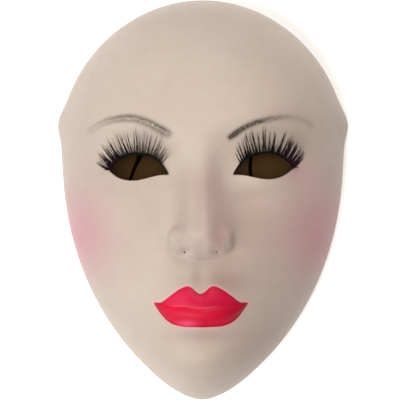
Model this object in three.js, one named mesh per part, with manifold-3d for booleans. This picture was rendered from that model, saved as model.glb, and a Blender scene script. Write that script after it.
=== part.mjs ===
// A slush-cast latex mask of a woman's face, lying face up on its rim.
// Millimetres, +Z up out of the face, +Y towards the forehead, +X towards the viewer's right.
// The origin is on the surface it lies on, under the middle of the mask.
import * as THREE from "three";
import { mergeVertices } from "three/addons/utils/BufferGeometryUtils.js";
import Module from "manifold-3d";

const wasm = await Module();
wasm.setup();

// The whole mask.
const REACH_Y = 110; // from the middle to the top of the forehead, and to the chin
const BROAD_HALF = 78.2; // half the width, without the temple flare
const BROAD_Y = 36; // where the mask is broadest
const FLARE = 2.7; // how far the temples stand out at the rim
const FLARE_Y = 42;
const FLARE_RUN = 9;
const FRONT = 72; // height of the face's front over the rim
const WALL = 1.8; // latex thickness

// The features sit on equal thirds of the face and on fifths of its width.
const THIRD = 70;
const BROW_Y = 38.5;
const NOSE_BASE_Y = BROW_Y - THIRD;
const MOUTH_Y = NOSE_BASE_Y - THIRD / 3;
const EYE_GAP = 34;
const EYE_WIDTH = 30.5;
const EYE_X = (EYE_GAP + EYE_WIDTH) / 2;
const EYE_Y = 15.5;
const CORNER_Y = EYE_Y - 1.6; // middle height of a hole's two corners
const EYE_TOP = 9; // height of the hole's upper edge over the line between its corners
const EYE_DEPTH = 4.4; // and how far its lower edge sags under it
const EYE_LOWEST = 0.25; // place across the hole where it sags most, from -1 to 1
const NOSE_TIP_Y = -19.5;
const NOSE_ROOT_Y = 28;
const MOUTH_HALF = 24.6;
const MOUTH_CORNER_Y = MOUTH_Y + 2.2;
const PINHOLE = { x: 8.1, y: -26.8, radius: 0.6 }; // breathing hole in each nostril

// The holes were cut by hand, the left one a little lower and straighter. In each, slant is how far
// the outer corner stands over the middle.
const EYES = [
  { side: -1, name: "left", lift: -0.3, slant: 1.2 },
  { side: 1, name: "right", lift: 0.3, slant: 1.9 },
];

// Eyelash strips.
const LASH_COUNT = 18;
const LASH_LENGTH = 12.5;
const LASH_RADIUS = 0.42; // at the root
const INNER_LEAN = 38; // degrees that the last lash leans towards the nose
const OUTER_LEAN = 62; // and towards the temple
const BAND_WIDTH = 1.2;
const BAND_THICKNESS = 0.6;
const BAND_INSET = 0.1; // from the edge of the hole
const BAND_LIFT = 0.5; // over the lid, for the glue
const BAND_TAIL = 2.6; // the strip's end past the outer corner
const BAND_STATIONS = 14;

// Elastic strap: a flat braid, both ends glued flat inside the temples, the rest lying loose in the mask.
const STRAP_WIDTH = 5.5;
const STRAP_THICKNESS = 1.1;
const STRAP_STEPS = 54;
const STRAP_LEAN = 68; // degrees that the braid rolls towards its edge in the curves of its loop
const EDGE_Z = 3; // height of its middle there
const FLAT_Z = 0.8; // height of its middle where it lies flat

const SKIN = 0xd8c4b4;
const LASH_BLACK = 0x15110f;
const ELASTIC_BLACK = 0x17130f;

const { clamp, degToRad } = THREE.MathUtils;

function ease(from, to, value) {
  const t = clamp((value - from) / (to - from), 0, 1);
  return t * t * (3 - 2 * t);
}

function bell(x, y, cx, cy, sx, sy, turnDeg = 0) {
  const turn = degToRad(turnDeg);
  const dx = x - cx;
  const dy = y - cy;
  const u = (Math.cos(turn) * dx + Math.sin(turn) * dy) / sx;
  const v = (Math.cos(turn) * dy - Math.sin(turn) * dx) / sy;
  return Math.exp(-(u * u + v * v));
}

// The outline seen from the front, without the temple flare.
function halfWidth(y) {
  if (y > BROAD_Y) {
    const up = Math.min((y - BROAD_Y) / (REACH_Y - BROAD_Y), 1);
    return BROAD_HALF * (1 - up ** 1.84) ** 0.513;
  }
  const down = Math.min((BROAD_Y - y) / (BROAD_Y + REACH_Y), 1);
  return BROAD_HALF * (1 - down ** 2.39) ** (0.718 - 0.036 * ease(0.85, 1, down));
}

function rimRadius(angle) {
  let inside = 0;
  let outside = REACH_Y;
  for (let i = 0; i < 40; i++) {
    const r = (inside + outside) / 2;
    const within = Math.abs(r * Math.cos(angle)) < halfWidth(r * Math.sin(angle));
    if (within) inside = r;
    else outside = r;
  }
  return inside;
}

// The plain egg-shaped shell: upright walls at the rim, a fuller curve at the chin than at the forehead.
function shellHeight(x, y) {
  const reach = Math.min(Math.abs(y) / REACH_Y, 1);
  const lengthwise = Math.sqrt(1 - reach ** (y > 0 ? 3 : 7));
  const across = Math.min(Math.abs(x) / Math.max(halfWidth(y), 1e-3), 1);
  return FRONT * lengthwise * Math.sqrt(1 - across ** 2.2);
}

function browsAndSockets(ax, y) {
  return (
    1.2 * bell(ax, y, 28, 40, 20, 8) -
    2 * bell(ax, y, 70, 34, 16, 26) -
    5 * bell(ax, y, 19, 20, 12, 12) -
    4.5 * bell(ax, y, 36, 18, 20, 14) +
    6 * bell(ax, y, EYE_X, EYE_Y, 15, 10.5) -
    bell(ax, y, 27, 1, 12, 5, 15)
  );
}

function cheeksAndChin(ax, y) {
  return (
    4.5 * bell(ax, y, 40, -13, 19, 19) -
    2.5 * bell(ax, y, 42, -52, 16, 20) +
    4.5 * bell(ax, y, 0, -50, 26, 19) +
    4.4 * bell(ax, y, 0, -84, 22, 17) -
    1.8 * bell(ax, y, 0, -72, 16, 6)
  );
}

function nose(ax, y) {
  const t = clamp((NOSE_ROOT_Y - y) / (NOSE_ROOT_Y - NOSE_TIP_Y), 0, 1);
  const rise = (t ** 1.2 * (1 - 0.16 * t ** 6)) / 0.84;
  const foot = NOSE_BASE_Y + 0.2 + 0.016 * Math.min(ax, 19) ** 2;
  const start = NOSE_TIP_Y + 3;
  const underTip = clamp((start - y) / (start - foot), 0, 1);
  const fall = (1 - underTip ** 2.2) ** 1.15;
  const flank = Math.exp(-((Math.max(ax - 2, 0) / (8 + 2.4 * t ** 3)) ** 1.9));
  const ridge = (2 + 14.5 * rise) * (1 - ease(14, 44, y)) * flank;
  const tip = 4 * bell(ax, y, 0, NOSE_TIP_Y + 0.5, 8, 8);
  const lobe = 1 - (Math.abs(ax - 9.2) / 8) ** 2.2 - (Math.abs(y + 21.6) / 9.4) ** 2.2;
  const wing = 11.6 * Math.max(lobe, 0) ** 0.58 * ease(0, 7, ax);
  const nostril = 2.6 * bell(ax, y, 7.6, -26.4, 3, 1.9, -18);
  return ((ridge + tip) ** 4 + wing ** 4) ** 0.25 * fall - nostril;
}

// The lines of the mouth at one place across it: where the lips meet, and their outer borders.
// The borders run out into a thin tail at each corner.
function lipLines(ax) {
  const s = Math.min(ax / MOUTH_HALF, 1);
  const meet = MOUTH_Y + 2.2 * s ** 2 + 0.7 * Math.exp(-(((s - 0.33) / 0.18) ** 2));
  const peak = 8.5 * (1 - clamp((s - 0.25) / 0.58, 0, 1) ** 1.6) ** 1.25;
  const bow = 4 * Math.exp(-((s / 0.155) ** 2.4));
  const upper = MOUTH_CORNER_Y + peak - bow + 0.5 * (1 - s);
  const lower = MOUTH_CORNER_Y - 12 * (1 - s ** 4.6) ** 1.35 - 0.2 * (1 - s);
  return { s, meet, upper, lower };
}

function lips(ax, y) {
  const { s, meet, upper, lower } = lipLines(ax);
  const full = Math.sqrt(Math.max(1 - s ** 2, 0));
  const above = clamp((y - meet) / Math.max(upper - meet, 0.3), 0, 1);
  const below = clamp((meet - y) / Math.max(meet - lower, 0.3), 0, 1);
  const crease = 0.3 * Math.exp(-(((y - meet) / 0.9) ** 2)) * (1 - ease(0.6, 0.95, s));
  const topLip = 2.4 * (1 - above ** 1.8);
  const bottomLip = (2.4 + 1.6 * Math.sin(Math.PI * below)) * (1 - below ** 2.4);
  return full * (y < meet ? bottomLip : topLip) - crease;
}

function philtrum(ax, y) {
  return 0.3 * bell(ax, y, 5.5, -41, 2.6, 6) - 0.5 * bell(ax, y, 0, -40, 3.4, 6);
}

function faceHeight(x, y) {
  const ax = Math.abs(x);
  const plain = shellHeight(x, y);
  const features =
    browsAndSockets(ax, y) + cheeksAndChin(ax, y) + nose(ax, y) + philtrum(ax, y) + lips(ax, y);
  return plain + ease(0, 30, plain) * features;
}

// A point of the outer face, from a place in the unit disc whose edge is the rim.
function facePoint(u, v) {
  const out = Math.min(Math.hypot(u, v), 1);
  const angle = Math.atan2(v, u);
  const r = rimRadius(angle) * Math.sin((out * Math.PI) / 2);
  const x = r * Math.cos(angle);
  const y = r * Math.sin(angle);
  const z = out > 1 - 1e-9 ? 0 : faceHeight(x, y);
  const flare = FLARE * Math.exp(-(((y - FLARE_Y) / FLARE_RUN) ** 2)) * ease(0.72, 1, out);
  return new THREE.Vector3(x + Math.sign(x) * flare, y, z);
}

// The direction that the latex is thick in. At the rim it is level, so that the rim lies flat.
function faceNormal(u, v) {
  const step = 0.03;
  if (Math.hypot(u, v) > 1 - 1e-9) {
    const angle = Math.atan2(v, u);
    const before = facePoint(Math.cos(angle - step), Math.sin(angle - step));
    const after = facePoint(Math.cos(angle + step), Math.sin(angle + step));
    const along = after.sub(before);
    return new THREE.Vector3(along.y, -along.x, 0).normalize();
  }
  const across = facePoint(u + step, v).sub(facePoint(u - step, v));
  const lengthwise = facePoint(u, v + step).sub(facePoint(u, v - step));
  return across.cross(lengthwise).normalize();
}

// Grid lines from rim to rim along one axis, in the disc's units, closer together where spacing is small.
function gridLines(reach, spacing) {
  const fine = 2000;
  const counts = [0];
  for (let i = 0; i < fine; i++) {
    const angle = ((i + 0.5) / fine - 0.5) * Math.PI;
    counts.push(counts[i] + (reach * Math.PI) / fine / spacing(reach * Math.sin(angle)));
  }
  const lines = Math.round(counts[fine]);
  const found = [];
  for (let k = 0, i = 0; k <= lines; k++) {
    const wanted = (k / lines) * counts[fine];
    while (i < fine && counts[i] < wanted) i++;
    found.push((i / fine) * 2 - 1);
  }
  found[0] = -1;
  found[lines] = 1;
  return found;
}

function rowSpacing(y) {
  if (y > -66 && y < -46) return 2.4; // lips
  if (y > -46 && y < -36) return 3.5;
  if (y > -36 && y < -12) return 2.8; // nose tip and wings
  if (y > -12 && y < 28) return 6;
  return 12;
}

function columnSpacing(x) {
  if (Math.abs(x) < 24) return 3.2;
  if (Math.abs(x) < 50) return 6;
  return 12;
}

// One closed skin: outer face, inner face WALL behind it, and the flat rim between them.
function maskShell() {
  const columns = gridLines(BROAD_HALF, columnSpacing);
  const rows = gridLines(REACH_Y, rowSpacing);
  const across = columns.length;
  const outer = [];
  const inner = [];
  for (const b of rows) {
    for (const a of columns) {
      const u = a * Math.sqrt(1 - (b * b) / 2);
      const v = b * Math.sqrt(1 - (a * a) / 2);
      const point = facePoint(u, v);
      outer.push(point);
      inner.push(point.clone().addScaledVector(faceNormal(u, v), -WALL));
    }
  }
  const faces = [];
  const behind = outer.length;
  for (let j = 0; j + 1 < rows.length; j++) {
    for (let i = 0; i + 1 < across; i++) {
      const p = j * across + i;
      const q = p + across;
      const leftHalf = columns[i] + columns[i + 1] < 0 === rows[j] + rows[j + 1] < 0;
      const pair = leftHalf
        ? [[p, p + 1, q + 1], [p, q + 1, q]]
        : [[p, p + 1, q], [p + 1, q + 1, q]];
      for (const [k, l, m] of pair) {
        faces.push([k, l, m]);
        faces.push([behind + k, behind + m, behind + l]);
      }
    }
  }
  const edge = [];
  const last = (rows.length - 1) * across;
  for (let i = 0; i < across - 1; i++) edge.push(i);
  for (let j = 0; j < rows.length - 1; j++) edge.push(j * across + across - 1);
  for (let i = across - 1; i > 0; i--) edge.push(last + i);
  for (let j = rows.length - 1; j > 0; j--) edge.push(j * across);
  edge.forEach((p, k) => {
    const q = edge[(k + 1) % edge.length];
    faces.push([p, behind + p, behind + q], [p, behind + q, q]);
  });
  return solidOf(geometryOf([...outer, ...inner], faces));
}

// The edge of one eye hole, from across = -1 at its inner corner to 1 at its outer one.
function eyeEdge(across, upper, slant) {
  const corners = CORNER_Y + slant * across;
  if (upper) return corners + EYE_TOP * (1 - Math.abs(across) ** (across < 0 ? 3.2 : 2.2));
  if (across < EYE_LOWEST) return corners - EYE_DEPTH * ease(-1, EYE_LOWEST, across);
  return corners - EYE_DEPTH * (1 - ((across - EYE_LOWEST) / (1 - EYE_LOWEST)) ** 2.5);
}

// Counter-clockwise from the inner corner.
function eyeOutline({ side, lift, slant }) {
  const steps = 12;
  const points = [];
  for (let k = 0; k < 2 * steps; k++) {
    const across = -Math.cos((k / steps) * Math.PI);
    const y = eyeEdge(across, k > steps, slant) + lift;
    points.push(new THREE.Vector2(side * (EYE_X + (across * EYE_WIDTH) / 2), y));
  }
  return points;
}

function eyeCutter(eye) {
  const depth = FRONT;
  const shape = new THREE.Shape(eyeOutline(eye));
  const prism = new THREE.ExtrudeGeometry(shape, { depth, bevelEnabled: false });
  return solidOf(prism.translate(0, 0, FRONT / 2));
}

function pinhole(side) {
  const drill = new THREE.CylinderGeometry(PINHOLE.radius, PINHOLE.radius, FRONT, 8);
  return solidOf(drill.rotateX(Math.PI / 2).translate(side * PINHOLE.x, PINHOLE.y, FRONT));
}

// One strip of false eyelashes: a band glued along the upper edge of the hole, with tapered lashes.
function lidPoint(eye, across, outward, above) {
  const t = clamp(across, -1, 1);
  const x = EYE_X + (across * EYE_WIDTH) / 2;
  const ahead = Math.min(t + 0.02, 1);
  const behind = Math.max(t - 0.02, -1);
  const climb = eyeEdge(ahead, true, eye.slant) - eyeEdge(behind, true, eye.slant);
  const steep = clamp(climb / (((ahead - behind) * EYE_WIDTH) / 2), -1.2, 1.2);
  const long = Math.hypot(1, steep);
  const px = eye.side * (x - (outward * steep) / long);
  const py = eyeEdge(t, true, eye.slant) + eye.lift + outward / long;
  return new THREE.Vector3(px, py, faceHeight(px, py) + above);
}

function lashBand(eye) {
  const stations = [];
  for (let k = 0; k <= BAND_STATIONS; k++) stations.push(-0.94 + (k / BAND_STATIONS) * 1.94);
  stations.push(1 + (2 * BAND_TAIL) / EYE_WIDTH);
  const rings = stations.map((t) => [
    lidPoint(eye, t, BAND_INSET, BAND_LIFT),
    lidPoint(eye, t, BAND_INSET + BAND_WIDTH, BAND_LIFT),
    lidPoint(eye, t, BAND_INSET + BAND_WIDTH, BAND_LIFT + BAND_THICKNESS),
    lidPoint(eye, t, BAND_INSET, BAND_LIFT + BAND_THICKNESS),
  ]);
  return solidOf(skinOver(rings, eye.side < 0));
}

function lash(eye, k) {
  const across = -0.92 + (1.84 * (k + 0.5)) / LASH_COUNT;
  const root = lidPoint(eye, across, BAND_INSET + BAND_WIDTH / 2, BAND_LIFT + BAND_THICKNESS / 2);
  const lean = degToRad(across < 0 ? INNER_LEAN * across : OUTER_LEAN * across);
  const heading = new THREE.Vector3(eye.side * Math.sin(lean), Math.cos(lean), 0);
  const length = LASH_LENGTH * (0.82 + 0.18 * across - 0.22 * across ** 2 + (k % 2 ? 0.06 : -0.06));
  const curve = new THREE.QuadraticBezierCurve3(
    root,
    root.clone().addScaledVector(heading, 0.3 * length).setZ(root.z + 0.42 * length),
    root.clone().addScaledVector(heading, length).setZ(root.z + 0.5 * length),
  );
  const sideways = new THREE.Vector3(heading.y, -heading.x, 0);
  const rings = [0, 0.5, 1].map((t) => {
    const at = curve.getPoint(t);
    const radius = LASH_RADIUS * (1 - 0.85 * t);
    return [0, 1, 2].map((corner) => {
      const turn = (corner / 3) * 2 * Math.PI;
      const upright = new THREE.Vector3().crossVectors(curve.getTangent(t), sideways);
      return at
        .clone()
        .addScaledVector(sideways, radius * Math.cos(turn))
        .addScaledVector(upright, radius * Math.sin(turn));
    });
  });
  return solidOf(skinOver(rings, false));
}

function lashStrip(eye) {
  let strip = lashBand(eye);
  for (let k = 0; k < LASH_COUNT; k++) strip = strip.add(lash(eye, k));
  return strip;
}

// The strap's route: down the left temple, round in a loose loop, and up the right temple.
const STRAP_ROUTE = [
  [-63.5, FLARE_Y, 34],
  [-67, FLARE_Y, 28],
  [-70, FLARE_Y, 22],
  [-71.2, FLARE_Y, 15.5],
  [-68.6, FLARE_Y, 8],
  [-62.5, FLARE_Y, 2.4],
  [-54, 42.3, FLAT_Z],
  [-45, 41.2, 1.1],
  [-37, 36.5, 2],
  [-34.2, 27, 2.8],
  [-38.6, 15.5, EDGE_Z],
  [-42.2, 3, EDGE_Z],
  [-39.5, -11, EDGE_Z],
  [-28.5, -21.5, EDGE_Z],
  [-13, -25.5, EDGE_Z],
  [3, -25.5, EDGE_Z],
  [17, -20, EDGE_Z],
  [25, -8, EDGE_Z],
  [27, 6, EDGE_Z],
  [26.5, 20, EDGE_Z],
  [30, 33, EDGE_Z],
  [40, 40.6, 1.9],
  [52.5, 42.4, FLAT_Z],
  [62.5, FLARE_Y, 2.4],
  [68.6, FLARE_Y, 8],
  [71.2, FLARE_Y, 15.5],
  [70, FLARE_Y, 22],
  [67, FLARE_Y, 28],
  [63.5, FLARE_Y, 34],
];

// A curve that carries a flat section: it lies flat by the ends and rolls towards its edge between them.
class StrapCurve extends THREE.CatmullRomCurve3 {
  computeFrenetFrames(segments, closed) {
    const frames = super.computeFrenetFrames(segments, closed);
    for (let i = 0; i <= segments; i++) {
      const t = i / segments;
      const lean = degToRad(STRAP_LEAN) * ease(0.17, 0.29, t) * ease(0.15, 0.26, 1 - t);
      frames.normals[i].applyAxisAngle(frames.tangents[i], lean);
      frames.binormals[i].applyAxisAngle(frames.tangents[i], lean);
    }
    return frames;
  }
}

function elasticStrap() {
  const route = new StrapCurve(STRAP_ROUTE.map((p) => new THREE.Vector3(...p)));
  const wide = STRAP_WIDTH / 2;
  const thick = STRAP_THICKNESS / 2;
  const corner = thick / 2;
  const section = new THREE.Shape([
    new THREE.Vector2(wide, -thick + corner),
    new THREE.Vector2(wide, thick - corner),
    new THREE.Vector2(wide - corner, thick),
    new THREE.Vector2(corner - wide, thick),
    new THREE.Vector2(-wide, thick - corner),
    new THREE.Vector2(-wide, corner - thick),
    new THREE.Vector2(corner - wide, -thick),
    new THREE.Vector2(wide - corner, -thick),
  ]);
  return solidOf(new THREE.ExtrudeGeometry(section, { steps: STRAP_STEPS, extrudePath: route }));
}

// Rings of equal length, skinned into one closed body with flat ends.
function skinOver(rings, flip) {
  const points = rings.flat();
  const count = rings[0].length;
  const faces = [];
  for (let r = 0; r + 1 < rings.length; r++) {
    for (let k = 0; k < count; k++) {
      const p = r * count + k;
      const q = r * count + ((k + 1) % count);
      faces.push([p, q, q + count], [p, q + count, p + count]);
    }
  }
  const top = (rings.length - 1) * count;
  for (let k = 1; k + 1 < count; k++) {
    faces.push([0, k + 1, k], [top, top + k, top + k + 1]);
  }
  if (flip) faces.forEach((face) => face.reverse());
  return geometryOf(points, faces);
}

function geometryOf(points, faces) {
  const geometry = new THREE.BufferGeometry().setFromPoints(points);
  return geometry.setIndex(faces.flat());
}

function solidOf(geometry) {
  const bare = new THREE.BufferGeometry();
  bare.setAttribute("position", geometry.getAttribute("position"));
  bare.setIndex(geometry.getIndex());
  const merged = mergeVertices(bare, 1e-4);
  const vertProperties = new Float32Array(merged.getAttribute("position").array);
  const triVerts = new Uint32Array(merged.getIndex().array);
  return new wasm.Manifold(new wasm.Mesh({ numProp: 3, vertProperties, triVerts }));
}

function meshOf(name, solid, color, roughness) {
  const { vertProperties, triVerts, numProp } = solid.getMesh();
  const geometry = new THREE.BufferGeometry();
  const flat = new THREE.InterleavedBuffer(vertProperties, numProp);
  geometry.setAttribute("position", new THREE.InterleavedBufferAttribute(flat, 3, 0));
  geometry.setIndex(new THREE.BufferAttribute(triVerts, 1));
  geometry.computeVertexNormals();
  const material = new THREE.MeshStandardMaterial({ color, roughness, metalness: 0 });
  const mesh = new THREE.Mesh(geometry, material);
  mesh.name = name;
  return mesh;
}

const mask = new THREE.Group();

let shell = maskShell();
for (const eye of EYES) shell = shell.subtract(eyeCutter(eye)).subtract(pinhole(eye.side));
mask.add(meshOf("mask_shell", shell, SKIN, 0.55));

for (const eye of EYES) mask.add(meshOf(`${eye.name}_lashes`, lashStrip(eye), LASH_BLACK, 0.5));
mask.add(meshOf("elastic_strap", elasticStrap(), ELASTIC_BLACK, 0.8));

export default mask;
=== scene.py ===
# %% [markdown]
# # A latex face mask with false eyelashes
#
# The mask is one thin casting of latex. A mould-maker sculpts the face, pours liquid latex into the
# mould and pours it out again, so a skin of even thickness is left. The face is painted by hand, the
# eye holes are cut with a small blade, a strip of lashes is glued over each hole, and an elastic braid
# is glued inside the temples. The lesson builds it in that order: stage and strap first, then the
# casting, the paint, and the lashes.

# %% Load the construction frame
import math

import bpy
import numpy as np
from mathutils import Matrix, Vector


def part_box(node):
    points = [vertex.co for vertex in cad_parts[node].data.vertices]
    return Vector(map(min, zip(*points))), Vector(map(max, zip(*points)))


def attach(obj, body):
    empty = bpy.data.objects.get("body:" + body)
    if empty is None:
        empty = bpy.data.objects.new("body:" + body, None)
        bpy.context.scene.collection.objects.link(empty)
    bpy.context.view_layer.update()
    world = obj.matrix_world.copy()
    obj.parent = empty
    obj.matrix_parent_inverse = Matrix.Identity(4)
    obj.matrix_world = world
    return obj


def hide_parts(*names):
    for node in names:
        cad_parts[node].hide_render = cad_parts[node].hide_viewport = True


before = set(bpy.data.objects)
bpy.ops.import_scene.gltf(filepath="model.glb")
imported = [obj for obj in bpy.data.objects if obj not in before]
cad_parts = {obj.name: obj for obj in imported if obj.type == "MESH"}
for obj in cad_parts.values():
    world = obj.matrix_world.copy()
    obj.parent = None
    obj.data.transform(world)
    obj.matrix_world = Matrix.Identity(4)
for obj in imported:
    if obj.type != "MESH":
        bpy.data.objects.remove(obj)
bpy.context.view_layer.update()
MM = 0.001
shell_low, shell_high = (np.array(corner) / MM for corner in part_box("mask_shell"))
print("casting, mm:", (shell_high - shell_low).round(1))

# %% [markdown]
# ## Camera, floor and light
#
# The photograph is taken from straight above, so the camera hangs over the mask and looks down. Its
# lens is worked out from two real lengths: the distance, and the width of floor that fills the picture.
# It hangs a little to the right of the middle, so the high parts of the face lean left in the picture,
# and a lens shift keeps the frame where it was. The soft boxes stand well to the side, towards the chin
# and the forehead, so that what falls through the eye holes lands out of sight. Only a weak warm one
# hangs overhead, and lets the floor inside the mask glow brown.

# %% Camera
CAMERA_HEIGHT = 800.0
CAMERA_ASIDE = 13.5
FRAME_WIDTH = 222.7
FRAME_CENTRE = (-1.6, -0.5)
SENSOR = 36.0

camera_data = bpy.data.cameras.new("camera")
camera_data.sensor_width = SENSOR
camera_data.lens = SENSOR * CAMERA_HEIGHT / FRAME_WIDTH
camera_data.shift_x = -CAMERA_ASIDE / FRAME_WIDTH
camera = bpy.data.objects.new("camera", camera_data)
camera.location = ((FRAME_CENTRE[0] + CAMERA_ASIDE) * MM, FRAME_CENTRE[1] * MM, CAMERA_HEIGHT * MM)
bpy.context.scene.collection.objects.link(camera)
bpy.context.scene.camera = camera
bpy.context.scene.view_settings.view_transform = "Standard"
print("lens, mm:", round(camera_data.lens, 1))


# %% Helpers for materials
def linear(red, green, blue):
    """An 8-bit display colour as the linear colour that a shader takes."""
    parts = [c / 255 for c in (red, green, blue)]
    return [c / 12.92 if c < 0.04045 else ((c + 0.055) / 1.055) ** 2.4 for c in parts] + [1.0]


class Graph:
    """Adds nodes to a tree. An input is a value or another node's output."""

    def __init__(self, tree):
        self.tree = tree

    def feed(self, socket, value):
        if isinstance(value, bpy.types.NodeSocket):
            self.tree.links.new(value, socket)
        elif value is not None:
            socket.default_value = value

    def node(self, kind, output=0, inputs=None, **settings):
        made = self.tree.nodes.new(kind)
        for name, value in settings.items():
            setattr(made, name, value)
        for key, value in (inputs or {}).items():
            self.feed(made.inputs[key], value)
        return made.outputs[output]

    def math(self, operation, *values):
        return self.node("ShaderNodeMath", inputs=dict(enumerate(values)), operation=operation)

    def times(self, *values):
        product = values[0]
        for value in values[1:]:
            product = self.math("MULTIPLY", product, value)
        return product

    def plus(self, *values):
        total = values[0]
        for value in values[1:]:
            total = self.math("ADD", total, value)
        return total


class Shader(Graph):
    """Builds one material."""

    def __init__(self, name):
        self.material = bpy.data.materials.new(name)
        self.material.use_nodes = True
        super().__init__(self.material.node_tree)
        self.surface = self.tree.nodes["Principled BSDF"]

    def set(self, **values):
        for name, value in values.items():
            self.feed(self.surface.inputs[NAMED_SOCKETS[name]], value)

    def attribute(self, name):
        return self.node("ShaderNodeAttribute", "Fac", attribute_name=name)

    def ramp(self, value, low, high, out_low=0.0, out_high=1.0):
        return self.node("ShaderNodeMapRange", inputs={0: value, 1: low, 2: high, 3: out_low, 4: out_high},
                         interpolation_type="SMOOTHSTEP")

    def noise(self, scale, detail=3.0, roughness=0.5, where=None):
        where = where or self.node("ShaderNodeTexCoord", "Object")
        return self.node("ShaderNodeTexNoise", "Fac", inputs={
            "Vector": where, "Scale": scale, "Detail": detail, "Roughness": roughness})

    def mix(self, amount, a, b):
        """Mixes two colours. They are the Mix node's inputs 6 and 7, and its output 2."""
        return self.node("ShaderNodeMix", 2, {0: amount, 6: a, 7: b}, data_type="RGBA")

    def bump(self, height, distance, strength=1.0, below=None):
        return self.node("ShaderNodeBump", inputs={
            "Height": height, "Distance": distance, "Strength": strength, "Normal": below})


NAMED_SOCKETS = {
    "colour": "Base Color",
    "roughness": "Roughness",
    "normal": "Normal",
    "specular": "Specular IOR Level",
    "subsurface": "Subsurface Weight",
    "subsurface_radius": "Subsurface Radius",
    "subsurface_scale": "Subsurface Scale",
    "sheen": "Sheen Weight",
    "sheen_roughness": "Sheen Roughness",
}


# %% Floor and lights
FLOOR_WIDTH = 6.0  # metres, like the places of the lights
FLOOR_DROP = 0.0002
LIT_POINT = (0, 0, 0.04)


def pale_floor():
    """A sheet of paper just under the rim."""
    paper = Shader("pale_paper")
    paper.set(colour=linear(253, 255, 255), roughness=0.7, specular=0.2)
    bpy.ops.mesh.primitive_plane_add(size=FLOOR_WIDTH, location=(0, 0, -FLOOR_DROP))
    floor = bpy.context.object
    floor.name = "floor"
    floor.data.materials.append(paper.material)


def soft_box(name, place, size, watts, colour=(1, 1, 1)):
    """A square area light that faces the mask."""
    data = bpy.data.lights.new(name, "AREA")
    data.size = size
    data.energy = watts
    data.color = colour
    box = bpy.data.objects.new(name, data)
    box.location = place
    box.rotation_euler = (Vector(LIT_POINT) - Vector(place)).to_track_quat("-Z", "Y").to_euler()
    bpy.context.scene.collection.objects.link(box)


pale_floor()
soft_box("main", (-0.7, -0.9, 1.6), 1.4, 50.5)
soft_box("window_left", (-1.6, 0.0, 0.5), 0.8, 7.9, (0.9, 1.0, 1.0))
soft_box("forehead_low", (0.0, 1.6, 0.8), 1.0, 18.5, (0.93, 1.0, 1.0))
soft_box("forehead_high", (0.4, 1.0, 1.55), 0.8, 18.5, (1.0, 0.92, 0.9))
soft_box("glow_above", (0.0, 0.0, 1.9), 0.3, 1.6, (1.0, 0.47, 0.1))
world = bpy.data.worlds.new("surround")
world.use_nodes = True
surround = world.node_tree.nodes["Background"].inputs
surround["Color"].default_value = (1.0, 0.92, 0.9, 1)
surround["Strength"].default_value = 0.15
bpy.context.scene.world = world

# %% [markdown]
# ## Elastic strap
#
# The strap is flat elastic, a braid of covered rubber threads. Its ends are glued flat against the
# inside of the temples, and the rest lies in a loose loop under the mask. Its middle line is a short
# list of places, and a flat ribbed section is swept along it. A braid bends easily only across its flat
# side, so in the curves of the loop it rolls towards its edge, which is how it shows through the eye
# holes.

# %% The strap's route
STRAP_WIDTH = 5.5
STRAP_THICKNESS = 1.1
STRAP_LEAN = math.radians(68)
TEMPLE_Y = 42.0
EDGE_Z = 3.0
FLAT_Z = 0.8
TEMPLE_PLACES = [(63.5, 34), (67, 28), (70, 22), (71.2, 15.5), (68.6, 8), (62.5, 2.4)]
LOOP_PLACES = [
    (-54, 42.3, FLAT_Z), (-45, 41.2, 1.1), (-37, 36.5, 2), (-34.2, 27, 2.8), (-38.6, 15.5, EDGE_Z),
    (-42.2, 3, EDGE_Z), (-39.5, -11, EDGE_Z), (-28.5, -21.5, EDGE_Z), (-13, -25.5, EDGE_Z),
    (3, -25.5, EDGE_Z), (17, -20, EDGE_Z), (25, -8, EDGE_Z), (27, 6, EDGE_Z), (26.5, 20, EDGE_Z),
    (30, 33, EDGE_Z), (40, 40.6, 1.9), (52.5, 42.4, FLAT_Z),
]
STRAP_ROUTE = [
    *((-x, TEMPLE_Y, z) for x, z in TEMPLE_PLACES),
    *LOOP_PLACES,
    *((x, TEMPLE_Y, z) for x, z in reversed(TEMPLE_PLACES)),
]


def ease(low, high, value):
    """0 below low, 1 above high, and a smooth rise between them."""
    t = np.clip((value - low) / (high - low), 0, 1)
    return t * t * (3 - 2 * t)


def smooth_line(places, spacing, steps=40):
    """A smooth curve through the places, as points at even spacing."""
    p = np.array(places, float)
    p = np.vstack([2 * p[0] - p[1], p, 2 * p[-1] - p[-2]])
    knots = np.cumsum(np.r_[0, np.linalg.norm(np.diff(p, axis=0), axis=1) ** 0.5])
    fine = []
    for i in range(1, len(p) - 2):
        k = knots[i - 1:i + 3]
        t = np.linspace(k[1], k[2], steps, endpoint=False)[:, None]
        a = [((k[j + 1] - t) * p[i - 1 + j] + (t - k[j]) * p[i + j]) / (k[j + 1] - k[j]) for j in range(3)]
        b = [((k[j + 2] - t) * a[j] + (t - k[j]) * a[j + 1]) / (k[j + 2] - k[j]) for j in range(2)]
        fine.append(((k[2] - t) * b[0] + (t - k[1]) * b[1]) / (k[2] - k[1]))
    fine = np.vstack([*fine, p[-2:-1]])
    run = np.r_[0, np.cumsum(np.linalg.norm(np.diff(fine, axis=0), axis=1))]
    even = np.linspace(0, run[-1], int(run[-1] / spacing))
    return np.column_stack([np.interp(even, run, fine[:, axis]) for axis in range(3)])


strap_line = smooth_line(STRAP_ROUTE, spacing=0.8)
strap_length = np.linalg.norm(np.diff(strap_line, axis=0), axis=1).sum()
print("strap, mm:", round(strap_length, 1))


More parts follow.
